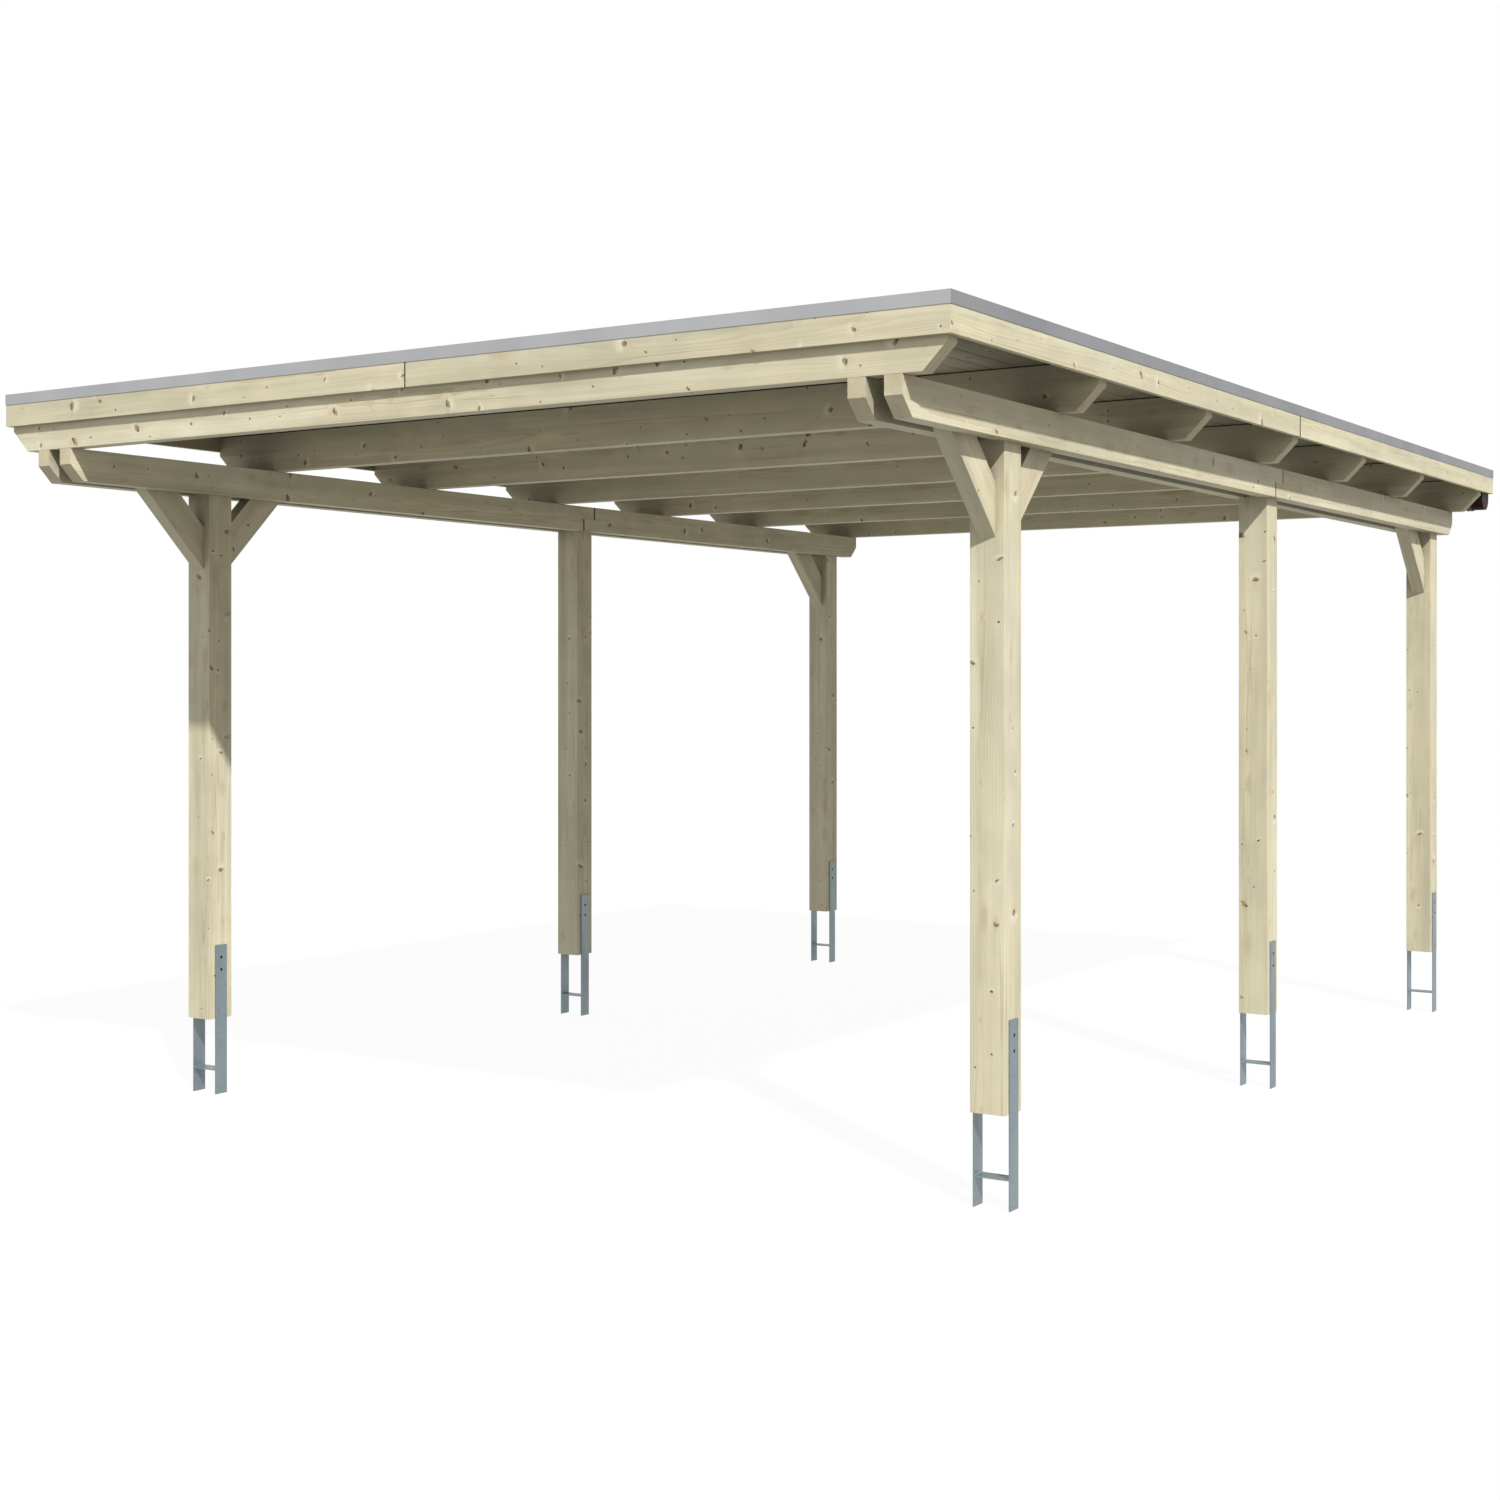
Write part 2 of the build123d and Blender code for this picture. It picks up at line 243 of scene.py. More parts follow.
def wire_knot(wiring, tree, given):
    """Measures of the nearest knot, in radii of its branch, and whether it shows or is buried."""
    away_along, away_across, size, chance = wire_branch(
        wiring, tree["along"], tree["radius"], tree["angle"], given["Knots per Radian"])
    rough = wiring.node(
        "ShaderNodeTexNoise", {"Vector": tree["spot"], "Scale": RAGGED_PER_METRE, "Detail": 1.0})
    rough = wiring.vector("SUBTRACT", rough.outputs["Color"], 3 * (NOISE_MIDDLE,))
    rough = wiring.separate(wiring.vector("MULTIPLY", rough, (RAGGED, RAGGED, 0.0)))
    side = wiring.math("ADD", wiring.math("DIVIDE", away_along, size), rough["X"])
    across = wiring.math("ADD", wiring.math("DIVIDE", away_across, size), rough["Y"])
    spare = wiring.math("FRACT", wiring.math("MULTIPLY", chance["Red"], SPARE_CHANCE))
    slant = wiring.scaled(wiring.scaled(spare, 2 * KNOT_SLANT, -KNOT_SLANT), across, side)
    width = wiring.scaled(chance["Blue"], KNOT_WIDTH_SPREAD, KNOT_WIDTH)
    turned = wiring.math("SIGN", wiring.math("SUBTRACT", chance["Blue"], EVEN_ODDS))
    whole = wiring.step(wiring.math("ABSOLUTE", tree["angle"]), *ANGLE_JUMP)
    whole = wiring.product(whole, wiring.step(tree["cut_square"], *SQUARE_CUT))
    seen = wiring.math("LESS_THAN", chance["Green"], given["Knot Share"])
    flat = wiring.combine(side, across)
    return {
        "size": size,
        "spare": spare,
        "reach": wiring.vector("LENGTH", wiring.combine(slant, wiring.math("DIVIDE", across, width))),
        "smear": wiring.vector("LENGTH", wiring.vector("MULTIPLY", flat, SMEAR_SHAPE)),
        "halo": wiring.vector("LENGTH", wiring.vector("MULTIPLY", flat, HALO_SHAPE)),
        "side": wiring.product(side, turned),
        "seen": wiring.product(seen, whole),
        "buried": wiring.product(wiring.math("SUBTRACT", 1.0, seen), whole),
    }


print("knots ready")

# %% [markdown]
# A ring has two parts: pale wood grown in spring, then a thin darker line from late summer. A
# sawtooth of the distance from the pith gives both, and soft noise makes some rings wide and some
# narrow. A knot pushes the rings outward, so its bulge is added to that distance first.

# %% The rings of a tree
RING_WIDTH = 0.0045
RING_RIPPLES, RIPPLE_DEPTH = (3.2, 24.0, 24.0), 0.009
UNEVEN_PER_METRE, UNEVEN_RINGS = 45.0, 3.0
BANDS_PER_METRE = 60.0
SUMMER_RISE, SUMMER_END = (0.4, 0.9), (1.0, 0.94)
FAINT_YEAR = 0.3


def wire_rings(wiring, spot, ring_place):
    """The dark line of each ring from 0 to 1, and broad bands of darker and paler rings."""
    ring_place = wiring.scaled(wiring.noise(spot, RING_RIPPLES), RIPPLE_DEPTH, ring_place)
    uneven = wiring.math("MULTIPLY", ring_place, UNEVEN_PER_METRE)
    uneven = wiring.line_noise(uneven, detail=3.0)["Fac"]
    phase = wiring.scaled(ring_place, 1.0 / RING_WIDTH, wiring.math("MULTIPLY", uneven, UNEVEN_RINGS))
    season = wiring.math("FRACT", phase)
    line = wiring.product(wiring.step(season, *SUMMER_RISE), wiring.step(season, *SUMMER_END))
    year = wiring.node(
        "ShaderNodeTexWhiteNoise", {"W": wiring.math("FLOOR", phase)}, noise_dimensions="1D")
    line = wiring.product(line, wiring.scaled(year.outputs["Value"], 1.0 - FAINT_YEAR, FAINT_YEAR))
    band = wiring.math("MULTIPLY", ring_place, BANDS_PER_METRE)
    return line, wiring.line_noise(band, detail=2.0)["Fac"]


print(f"rings about {RING_WIDTH * 1000:.1f} mm wide")

# %% [markdown]
# Seen from metres away single rings blur, and what stays is broad bands and long streaks that come
# and go. The rings are clear in some places and hardly there in others, some stretches are warmer
# or greyer, and cut ends are darker, because they drink in damp and dirt. All of it follows the
# grain, so each noise here is stretched along the piece. A name with FROM in it holds the two values
# of a noise between which something fades in.

# %% The colour of the grain
SPRING_WOOD, SUMMER_WOOD = (0.735, 0.672, 0.465, 1.0), (0.53, 0.42, 0.235, 1.0)
WARM_WOOD, WARM_SHARE = (0.66, 0.535, 0.335, 1.0), 0.28
PALE_WOOD, PALE_SHARE = (0.87, 0.82, 0.64, 1.0), 0.4
GREY_WOOD, GREY_SHARE = (0.60, 0.565, 0.40, 1.0), 0.35
CUT_END, CUT_END_SHARE = (0.60, 0.50, 0.315, 1.0), 0.45
FAINT_RINGS, CLEAR_RINGS, CUT_END_RINGS = 0.16, 0.45, 0.7
RING_PLACES, HUES = (0.9, 7.0, 7.0), (0.6, 9.0, 9.0)
CLEAR_FROM, WARM_FROM, WARM_BANDS = (0.42, 0.62), (0.4, 0.62), (0.5, 0.72)
PALE_HUES, GREY_HUES = (0.5, 0.75), (0.5, 0.28)
BROAD_BANDS, SOFT_BLOTS = (0.9, 14.0, 14.0), (6.0, 10.0, 10.0)
STREAKS, STREAK_PLACES, STREAKS_FROM = (1.8, 50.0, 50.0), (1.3, 10.0, 10.0), (0.38, 0.62)
DARKEST, BAND_DEPTH, STREAK_DEPTH, BLOT_DEPTH, FIBRE_DEPTH = 0.545, 0.46, 0.5, 0.28, 0.14


def wire_tone(wiring, spot, fibre):
    """Light and dark along the grain: broad bands, streaks in places, soft blots and fibres."""
    places = wiring.step(wiring.noise(spot, STREAK_PLACES, detail=1.0), *STREAKS_FROM)
    streak = wiring.math("SUBTRACT", wiring.noise(spot, STREAKS, detail=5.0), NOISE_MIDDLE)
    tone = wiring.scaled(wiring.noise(spot, BROAD_BANDS), BAND_DEPTH, DARKEST)
    tone = wiring.scaled(streak, wiring.math("MULTIPLY", places, STREAK_DEPTH), tone)
    tone = wiring.scaled(wiring.noise(spot, SOFT_BLOTS), BLOT_DEPTH, tone)
    return wiring.scaled(fibre, FIBRE_DEPTH, tone)


def wire_grain(wiring, tree, line, band, fibre):
    """The colour of the wood between its knots."""
    spot, cut_end = tree["spot"], tree["cut_end"]
    places = wiring.noise(spot, RING_PLACES, detail=1.0)
    clear = wiring.scaled(wiring.step(places, *CLEAR_FROM), CLEAR_RINGS, FAINT_RINGS)
    clear = wiring.math("MAXIMUM", clear, wiring.math("MULTIPLY", cut_end, CUT_END_RINGS))
    colour = wiring.blend(wiring.product(line, clear), SPRING_WOOD, SUMMER_WOOD)
    warm = wiring.product(wiring.step(band, *WARM_BANDS), wiring.step(places, *WARM_FROM), WARM_SHARE)
    colour = wiring.blend(warm, colour, WARM_WOOD)
    hue = wiring.noise(spot, HUES, detail=1.0)
    colour = wiring.blend(wiring.product(wiring.step(hue, *PALE_HUES), PALE_SHARE), colour, PALE_WOOD)
    colour = wiring.blend(wiring.product(wiring.step(hue, *GREY_HUES), GREY_SHARE), colour, GREY_WOOD)
    colour = wiring.dim(colour, wire_tone(wiring, spot, fibre))
    return wiring.blend(wiring.product(cut_end, CUT_END_SHARE), colour, CUT_END)


print("grain ready")

# %% [markdown]
# Small knots are dark dots. Larger ones are tan with a dark crescent on one side, where the bark of
# the branch was caught, and pale resinous wood on the other side. A branch just under the face only
# shows as a faint warm smear. Fine drying cracks follow the grain in a few places.

# %% The colours of knots and cracks
KNOT_WOOD, KNOT_DARK = (0.43, 0.31, 0.165, 1.0), (0.085, 0.066, 0.042, 1.0)
BURIED_WOOD, BURIED_SHARE = (0.57, 0.455, 0.275, 1.0), 0.5
STAIN_SHARE, RESIN_SHARE, CRESCENT_SHARE, CRACK_SHARE = 0.6, 0.8, 0.8, 0.3
KNOT_EDGE, CRESCENT_SIDE = (1.15, 0.75), (0.25, -0.75)
BURIED_FADE, STAIN_FADE, RESIN_FADE = (2.2, 0.3), (1.7, 0.5), (2.8, 0.8)
RESIN_SIDE, RESIN_CHANCE = (0.0, 1.0), (0.9, 0.7)
DOT_SIZES, RESIN_SIZES = (0.0055, 0.0032), (0.0026, 0.0042)
CRACKS, CRACK_EDGE = (0.4, 22.0, 22.0), (0.022, 0.003)
CRACK_PLACES, CRACKS_FROM = (1.6, 9.0, 9.0), (0.54, 0.62)


def wire_knot_colour(wiring, colour, knot):
    """The knots over the grain, and where a knot is."""
    buried = wiring.product(wiring.step(knot["smear"], *BURIED_FADE), knot["buried"], BURIED_SHARE)
    colour = wiring.blend(buried, colour, BURIED_WOOD)
    stain = wiring.step(knot["smear"], *STAIN_FADE)
    stain = wiring.product(stain, knot["seen"], knot["spare"], STAIN_SHARE)
    colour = wiring.blend(stain, colour, WARM_WOOD)
    resin = wiring.step(knot["halo"], *RESIN_FADE)
    resin = wiring.product(resin, wiring.step(knot["side"], *RESIN_SIDE))
    resin = wiring.product(resin, wiring.step(knot["spare"], *RESIN_CHANCE), knot["seen"])
    resin = wiring.product(resin, wiring.step(knot["size"], *RESIN_SIZES), RESIN_SHARE)
    colour = wiring.blend(resin, colour, PALE_WOOD)
    crescent = wiring.product(wiring.step(knot["side"], *CRESCENT_SIDE), CRESCENT_SHARE)
    dark = wiring.math("MAXIMUM", crescent, wiring.step(knot["size"], *DOT_SIZES))
    inside = wiring.product(wiring.step(knot["reach"], *KNOT_EDGE), knot["seen"])
    return wiring.blend(inside, colour, wiring.blend(dark, KNOT_WOOD, KNOT_DARK)), inside


def wire_crack(wiring, spot):
    """Fine cracks along the grain: thin lines where a stretched noise passes its middle."""
    line = wiring.math("SUBTRACT", wiring.noise(spot, CRACKS, detail=1.0), NOISE_MIDDLE)
    line = wiring.step(wiring.math("ABSOLUTE", line), *CRACK_EDGE)
    places = wiring.step(wiring.noise(spot, CRACK_PLACES, detail=1.0), *CRACKS_FROM)
    return wiring.product(line, places)


print("knot colours ready")

# %% [markdown]
# The group puts these together and gives the colour, the roughness and a height for the bump. It also
# paints shade into nooks, such as the gaps between purlins and rafters: an Ambient Occlusion node
# measures how open a place is, and the colour is darkened there as painted shade.

# %% The spruce group
TREE_STEP = 17.0
BENDS_PER_METRE, BEND = 0.55, 0.017
CUT_END_FACE = (0.45, 0.65)
FIBRES = (7.0, 800.0, 800.0)
BULGE_FADE = (3.4, 0.7)
NOOK_REACH, NOOK_SHADE, NOOK_OPEN, NOOK_SAMPLES = 0.3, 0.46, (0.1, 0.9), 4
PLANED_ROUGH, FIBRE_ROUGH, KNOT_POLISH = 0.56, 0.16, 0.12
RING_HEIGHT, FIBRE_HEIGHT = 0.5, 0.5


def wire_tree(wiring, given):
    """Where a point was in its tree, and how the face there cuts it."""
    shift = wiring.combine(wiring.math("MULTIPLY", given["Seed"], TREE_STEP), 0.0)
    spot = wiring.vector("ADD", given["Place"], shift)
    along = wiring.separate(spot)["X"]
    bend = wiring.line_noise(wiring.math("MULTIPLY", along, BENDS_PER_METRE))["Color"]
    bend = wiring.vector("MULTIPLY_ADD", bend, (0.0, 2 * BEND, 2 * BEND), (0.0, -BEND, -BEND))
    offset = wiring.vector("ADD", wiring.vector("SUBTRACT", spot, given["Pith"]), bend)
    offset = wiring.separate(offset)
    outward = wiring.combine(0.0, offset["Y"], offset["Z"])
    end_on = wiring.math("ABSOLUTE", wiring.separate(given["Face"])["X"])
    square = wiring.vector("DOT_PRODUCT", given["Face"], wiring.vector("NORMALIZE", outward))
    return {
        "spot": spot,
        "along": along,
        "radius": wiring.vector("LENGTH", outward),
        "angle": wiring.math("ARCTAN2", offset["Z"], offset["Y"]),
        "cut_end": wiring.step(end_on, *CUT_END_FACE),
        "cut_square": wiring.math("ABSOLUTE", square),
    }


def build_spruce_group():
    wiring, given, result = new_group(
        "spruce",
        {"Place": VECTOR, "Face": VECTOR, "Pith": VECTOR, "Seed": NUMBER,
         "Knots per Radian": NUMBER, "Knot Share": NUMBER},
        {"Color": COLOUR, "Roughness": NUMBER, "Height": NUMBER},
    )
    tree = wire_tree(wiring, given)
    knot = wire_knot(wiring, tree, given)
    bulge = wiring.product(knot["size"], wiring.step(knot["reach"], *BULGE_FADE))
    line, band = wire_rings(wiring, tree["spot"], wiring.math("ADD", tree["radius"], bulge))
    fibre = wiring.noise(tree["spot"], FIBRES)
    colour = wire_grain(wiring, tree, line, band, fibre)
    colour, inside = wire_knot_colour(wiring, colour, knot)
    crack = wire_crack(wiring, tree["spot"])
    colour = wiring.blend(wiring.product(crack, CRACK_SHARE), colour, KNOT_WOOD)
    # Painted shade: the colour darkens where the Ambient Occlusion node finds the place closed in.
    open_air = wiring.node(
        "ShaderNodeAmbientOcclusion", {"Distance": NOOK_REACH}, samples=NOOK_SAMPLES)
    open_air = wiring.step(open_air.outputs["AO"], *NOOK_OPEN)
    colour = wiring.dim(colour, wiring.scaled(open_air, 1.0 - NOOK_SHADE, NOOK_SHADE))
    rough = wiring.scaled(inside, -KNOT_POLISH, wiring.scaled(fibre, FIBRE_ROUGH, PLANED_ROUGH))
    height = wiring.scaled(line, RING_HEIGHT, wiring.math("MULTIPLY", fibre, FIBRE_HEIGHT))
    wiring.feed(result["Color"], colour)
    wiring.feed(result["Roughness"], rough)
    wiring.feed(result["Height"], wiring.math("SUBTRACT", height, crack))
    return wiring.tree


spruce_group = build_spruce_group()
print(f"spruce group with {len(spruce_group.nodes)} nodes")

# %% [markdown]
# ## Bolt holes
# Each post has two bolt holes through it, and so have the straps of its anchor. Little light gets in
# there and dirt stays, so the walls of a hole are painted dark: painted shade, with some dirt. Posts
# and steel both need that, so it is a small group: the distance from the nearest bolt's axis. The rows
# of posts are equally far apart, and wrapping the place along the carport at that distance brings all
# of them onto one.

# %% The bolt hole group
BOLT_RADIUS = 0.0055
BOLT_EDGE = (BOLT_RADIUS + 0.0008, BOLT_RADIUS + 0.0002)
BOLT_LEVEL, BOLT_HALF_PITCH = 0.525, 0.025


def middle(name):
    low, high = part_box(name)
    return (low + high) / 2


post_rows = sorted({round(middle(name).y, 5) for name in solids if name.startswith("post")})
row_pitch = post_rows[1] - post_rows[0]


def build_bolt_group():
    wiring, given, result = new_group("bolt_holes", {"Place": VECTOR}, {"Mask": NUMBER})
    place = wiring.separate(given["Place"])
    across = wiring.math("SUBTRACT", place["Y"], post_rows[0])
    across = wiring.math("WRAP", across, row_pitch / 2, -row_pitch / 2)
    above = wiring.math("ABSOLUTE", wiring.math("SUBTRACT", place["Z"], BOLT_LEVEL))
    above = wiring.math("SUBTRACT", above, BOLT_HALF_PITCH)
    away = wiring.vector("LENGTH", wiring.combine(across, above))
    wiring.feed(result["Mask"], wiring.step(away, *BOLT_EDGE))
    return wiring.tree


bolt_group = build_bolt_group()
print(f"post rows at {post_rows} m")

# %% [markdown]
# ## Every timber from its own tree
# A saw cuts posts close to the pith and boards well away from it, which is why posts show narrow
# cathedral arches in the middle of a face and boards show wide ones. Each solid gets its own material
# with its own pith and seed, and each kind of timber its own share of knots. A Mapping node of the
# Texture kind turns a point of the carport into the piece's own measures: along, across and through.
# The same turn, applied to the surface normal, tells how a face cuts the tree.

# %% A spruce material
UP, BACK, RIGHT = Vector((0, 0, 1)), Vector((0, 1, 0)), Vector((1, 0, 0))
PITH_REACH = {
    "post": 0.03, "purlin": 0.08, "rafter": 0.09, "brace": 0.08, "fascia": 0.09, "board": 0.08}
KNOT_SHARE = {
    "post": 0.52, "purlin": 0.5, "rafter": 0.62, "brace": 0.45, "fascia": 0.8, "board": 0.6}
PITH_SPREAD, PITH_TURN = (0.8, 1.3), 0.5
KNOT_GAP, FEWEST_KNOTS = 0.085, 0.9
BUMP_DEPTH = 0.0004
PLANED_GLOSS = 0.25
# A dark colour for grime and painted shade: seams, the walls of bolt holes and the line under the
# deck.
GRIME_AND_PAINTED_SHADE = (0.035, 0.027, 0.018, 1.0)


def grain_turn(along):
    """Turn of a piece's own axes: X along the grain, Y level across it, Z through it."""
    across = BACK if along == RIGHT else RIGHT
    return Matrix((along, across, along.cross(across))).transposed().to_euler()


def pith_of(kind, seed):
    """Where the pith ran, seen from the middle of a piece, and how far off that is."""
    chance = random.Random(seed)
    turn = chance.choice((0.0, math.pi)) + chance.uniform(-PITH_TURN, PITH_TURN)
    turn += math.pi / 2 if kind == "board" else 0.0
    reach = PITH_REACH[kind] * chance.uniform(*PITH_SPREAD)
    return (0.0, reach * math.cos(turn), reach * math.sin(turn)), reach


def spruce_material(name, kind, along, centre, seed, boards=None, dark=None, dimmed=None):
    """Spruce with its grain along a direction. Boards splits it up, dark says where grime and painted
    shade go, and dimmed is a colour that it is multiplied by."""
    material, wiring, shader = new_material(name)
    point = wiring.node("ShaderNodeTexCoord").outputs["Object"]
    normal = wiring.node("ShaderNodeNewGeometry").outputs["Normal"]
    place, face = (
        wiring.node(
            "ShaderNodeMapping",
            {"Vector": vector, "Location": origin, "Rotation": grain_turn(along)},
            vector_type="TEXTURE",
        ).outputs["Vector"]
        for vector, origin in ((point, centre), (normal, (0.0, 0.0, 0.0)))
    )
    grime_and_shade = dark(wiring, point, wiring.separate(place)) if dark else None
    tree = float(seed)
    if boards:
        place, tree = boards(wiring, place, tree)
    pith, reach = pith_of(kind, seed)
    spruce = wiring.group(spruce_group, {
        "Place": place, "Face": face, "Pith": pith, "Seed": tree,
        "Knots per Radian": max(reach / KNOT_GAP, FEWEST_KNOTS), "Knot Share": KNOT_SHARE[kind]})
    colour = wiring.blend(1.0, spruce["Color"], dimmed, "MULTIPLY") if dimmed else spruce["Color"]
    # Painted shade with some grime: the dark lines at seams and in bolt holes take the dark colour.
    colour = wiring.blend(grime_and_shade, colour, GRIME_AND_PAINTED_SHADE) if grime_and_shade else colour
    bump = wiring.node("ShaderNodeBump", {"Height": spruce["Height"], "Distance": BUMP_DEPTH})
    wiring.feed(shader["Base Color"], colour)
    wiring.feed(shader["Roughness"], spruce["Roughness"])
    wiring.feed(shader["Normal"], bump.outputs["Normal"])
    shader["Specular IOR Level"].default_value = PLANED_GLOSS
    return material


print("spruce material ready")

# %% [markdown]
# ### Dark seams
# Where two timbers meet, the eye sees a thin dark line: light hardly gets into the gap, and its edges
# are never quite sharp. The purlins meet in half-laps over the middle posts, and the deck lies on the
# rafters. The gaps of the laps are in the solids, two millimetres wide, and a dark line along their
# edges, painted shade with some grime, makes them as dark as real ones. Where the deck lies on a
# rafter there is no gap, and a dark line along the rafter's top is painted shade alone. Bolt holes are
# one more place of that kind.

# %% Where grime and painted shade darken posts, purlins and rafters
# Half-widths of dark lines: painted shade with some grime beside each lap's gap, and painted shade
# along the top of each rafter under the deck.
LAP_GAP, LAP_GRIME_AND_SHADE = 0.002, 0.0036
DECK_CONTACT_SHADE = 0.004
SOFT_EDGE = 0.0006


def dark_line(wiring, value, at, half_width):
    """1 within a distance of a place along one axis, with a slightly soft edge, and 0 outside."""
    away = wiring.math("ABSOLUTE", wiring.math("SUBTRACT", value, at))
    return wiring.step(away, half_width + SOFT_EDGE, half_width)


def bolt_holes(_):
    """The walls of a post's bolt holes, painted dark: painted shade, with some dirt."""
    return lambda wiring, point, place: wiring.group(bolt_group, {"Place": point})["Mask"]


def lap_seams(name):
    """The two dark upright lines of a half-lap, painted shade of its gap with some grime: one over the
    other, a lap's length apart.
    """
    front, rear = name.replace("_rear", "_front"), name.replace("_front", "_rear")
    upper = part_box(front)[1].y + LAP_GAP / 2 - middle(name).y
    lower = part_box(rear)[0].y - LAP_GAP / 2 - middle(name).y

    def seams(wiring, point, place):
        upper_line, lower_line = (
            dark_line(wiring, place["X"], at, LAP_GAP / 2 + LAP_GRIME_AND_SHADE) for at in (upper, lower))
        below = wiring.math("GREATER_THAN", place["Z"], 0.0)
        above = wiring.math("SUBTRACT", 1.0, below)
        return wiring.math(
            "MAXIMUM", wiring.product(lower_line, below), wiring.product(upper_line, above))
    return seams


def deck_contact_shade(name):
    """Painted shade: a dark line along the top of a rafter, where the deck boards lie on it."""
    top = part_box(name)[1].z - middle(name).z
    return lambda wiring, point, place: dark_line(wiring, place["Z"], top, DECK_CONTACT_SHADE)


print(f"lap seams {1000 * (LAP_GAP + 2 * LAP_GRIME_AND_SHADE):.1f} mm wide")

# %% [markdown]
# ### Dressing the timbers
# Posts have their grain upright, purlins from front to rear, rafters across, and braces at 45
# degrees. The seed counts on from timber to timber, so that no two of them show the same knots.

# %% Posts, purlins, rafters and braces
FIRST_TREE = 14
GRAIN = {"post": UP, "purlin": BACK, "rafter": RIGHT, "brace": UP}
DARK_PLACES = {"post": bolt_holes, "purlin": lap_seams, "rafter": deck_contact_shade}


def dress(name, material):
    """Give a solid its finish in place of the plain one that it came with."""
    solid = solids[name]
    solid.data.materials.clear()
    solid.data.materials.append(material)


timbers = sorted(name for name in solids if name.split("_")[0] in GRAIN)
for seed, name in enumerate(timbers, start=FIRST_TREE):
    kind = name.split("_")[0]
    along = GRAIN[kind]
    if kind == "brace":
        along = (UP + (BACK if name.endswith("backward") else -BACK)).normalized()
    dark = DARK_PLACES[kind](name) if kind in DARK_PLACES else None
    dress(name, spruce_material(f"spruce_{name}", kind, along, middle(name), seed, dark=dark))
print(f"{len(timbers)} timbers dressed")

# %% [markdown]
# ## Fascia boards
# The fascia round the roof is made of boards, two to a side, butted at mid-front and over the fourth
# rafter. Each of these solids holds both boards, so the material has to change trees at the butt
# joint: a step in the coordinate along the grain adds to the seed past the joint.

# %% Fascia, two boards in each solid
JOINT_RAFTER = "rafter_4"
JOINT_GAP = 0.003
# Half-widths added beside each butt joint's gap: painted shade with some grime.
FRONT_GRIME_AND_SHADE, SIDE_GRIME_AND_SHADE = 0.001, 0.0033
SECOND_TREE = 0.37


def butted_at(joint):
    """Splitter for boards that meet end to end at a place along the grain."""
    def split(wiring, place, tree):
        past = wiring.math("GREATER_THAN", wiring.separate(place)["X"], joint)
        return place, wiring.scaled(past, SECOND_TREE, tree)
    return split


def butt_seam(joint, grime_and_shade):
    """The dark line of a butt joint, painted shade of its gap with some grime."""
    return lambda wiring, point, place: dark_line(wiring, place["X"], joint, JOINT_GAP / 2 + grime_and_shade)


side_joint = middle(JOINT_RAFTER).y - middle("fascia_right").y
fascias = {
    "fascia_front": (RIGHT, 0.0, FRONT_GRIME_AND_SHADE),
    "fascia_left": (BACK, side_joint, SIDE_GRIME_AND_SHADE),
    "fascia_right": (BACK, side_joint, SIDE_GRIME_AND_SHADE),
}
for seed, (name, (along, joint, grime_and_shade)) in enumerate(fascias.items(), start=FIRST_TREE + len(timbers)):
    dress(name, spruce_material(
        f"spruce_{name}", "fascia", along, middle(name), seed,
        boards=butted_at(joint), dark=butt_seam(joint, grime_and_shade)))
print(f"side fascia joint {side_joint:.3f} m from the middle")

# %% [markdown]
# ## Roof boards
# Under the roof the deck is tongue-and-groove boards that run from front to rear across the rafters,
# with a small V where two boards meet. The solid is one panel, which is enough to carry the roof, but
# from below the joints must show. One outline of a board, with its tongue and groove, is drawn along
# the roof once for each board. A modifier could repeat it, but a loop also lets the first board
# lose its groove and the last one its tongue, as a carpenter saws them off.

# %% The section of a roof board
BOARD_COUNT = 42
BOARD_GAP = 0.0006
BOARD_VEE = 0.0035
TONGUE_LENGTH = 0.006
TONGUE_PLAY = 0.0004
TONGUE_SHARES = (0.40, 0.68)

deck_low, deck_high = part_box("roof_deck")
board_cover = (deck_high.x - deck_low.x) / BOARD_COUNT


def board_outline(left, first, last):
    """Section of one board: across the roof, and up from the rafters."""
    right = left + board_cover - BOARD_GAP
    bottom, top = deck_low.z, deck_high.z
    tongue = [bottom + share * (top - bottom) for share in TONGUE_SHARES]
    outline = [(left + BOARD_VEE, bottom), (right - BOARD_VEE, bottom), (right, bottom + BOARD_VEE)]
    if not last:
        tip = right + TONGUE_LENGTH
        outline += [(right, tongue[0]), (tip, tongue[0]), (tip, tongue[1]), (right, tongue[1])]
    outline += [(right, top), (left, top)]
    if not first:
        depth = left + TONGUE_LENGTH
        low, high = tongue[0] - TONGUE_PLAY, tongue[1] + TONGUE_PLAY
        outline += [(left, high), (depth, high), (depth, low), (left, low)]
    return outline + [(left, bottom + BOARD_VEE)]


print(f"{BOARD_COUNT} roof boards with a cover of {board_cover * 1000:.1f} mm")

# %% [markdown]
# The boards are one mesh, because nobody takes a single one off, and together they stand for the
# deck panel. In the material each board is a strip of its own width with its own tree. The deck is
# darker than the other timber: its colour is multiplied by a pale grey.

# %% Tongue-and-groove boards in place of the deck panel
DECK_TREE, NEXT_TREE = 60, 0.29
DECK_DIMMED = (0.74, 0.735, 0.735, 1.0)


def add_prism(mesh, outline, start_y, end_y):
    """A straight board between two ends from its section."""
    near, far = ([mesh.verts.new((x, y, z)) for x, z in outline] for y in (start_y, end_y))
    mesh.faces.new(near)
    mesh.faces.new(list(reversed(far)))
    for index in range(len(outline)):
        after = (index + 1) % len(outline)
        mesh.faces.new((near[after], near[index], far[index], far[after]))


